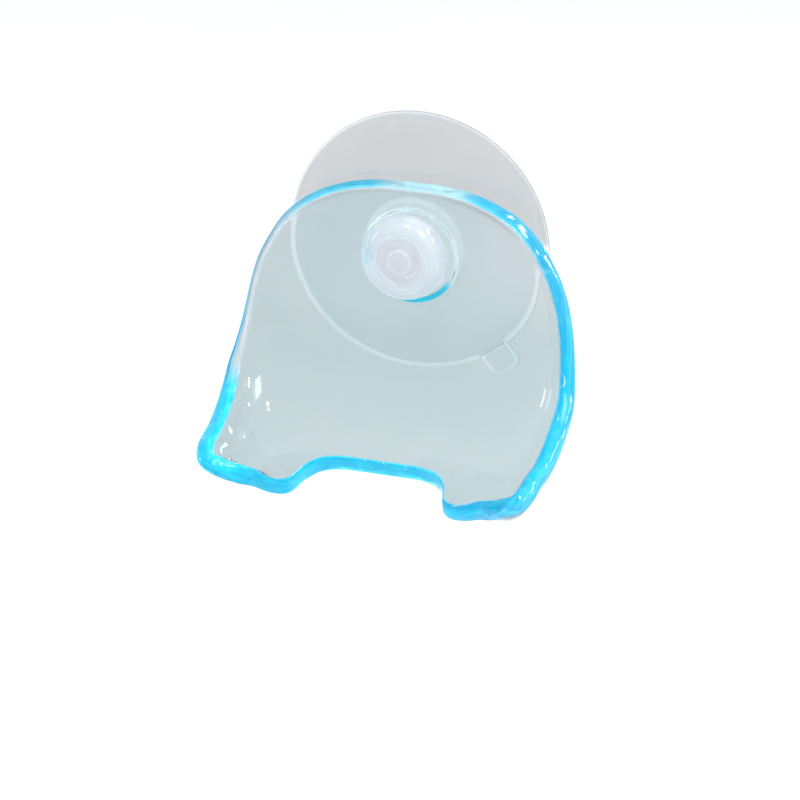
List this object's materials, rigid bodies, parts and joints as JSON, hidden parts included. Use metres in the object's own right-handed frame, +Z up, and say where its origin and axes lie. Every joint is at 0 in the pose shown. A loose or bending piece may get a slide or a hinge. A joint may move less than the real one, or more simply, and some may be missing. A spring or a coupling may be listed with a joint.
{
  "type": "suction razor holder",
  "caption": "Clear tinted scoop-shaped holder with a curled rim and a slotted front lip, hung on the mushroom knob of a soft clear suction cup with a pull tab.",
  "frame": {"origin": "centre of the suction face, on the wall", "axes": "+X right, -Y towards the front, +Y into the wall, +Z up"},
  "size_m": [0.056, 0.0304, 0.0547],
  "materials": {
    "cup_pvc": "clear soft vinyl, smooth",
    "knob_pvc": "clear soft vinyl, thick and milky",
    "holder_clear": "clear moulded plastic with a pale blue tint that gathers at the edges, glossy"
  },
  "bodies": {
    "cup": {"suction_disc": "cup_pvc"},
    "knob": {"suction_knob": "knob_pvc"},
    "tab": {"pull_tab": "cup_pvc"},
    "holder": {"holder_body": "holder_clear"}
  },
  "joints": [
    {"name": "knob_press", "type": "slide", "parent": "cup", "child": "knob", "axis": [0, 1, 0], "range_m": [0, 0.0006], "stiffness_N_per_m": 1500},
    {"name": "holder_swivel", "type": "hinge", "parent": "knob", "child": "holder", "pos_m": [0, -0.0047, 0], "axis": [0, -1, 0], "continuous": true},
    {"name": "tab_lift", "type": "hinge", "parent": "cup", "child": "tab", "pos_m": [0.01322, -0.00045, -0.01651], "axis": [-0.7804, 0, -0.6252], "range_deg": [0, 20], "stiffness_Nm_per_rad": 0.004}
  ]
}
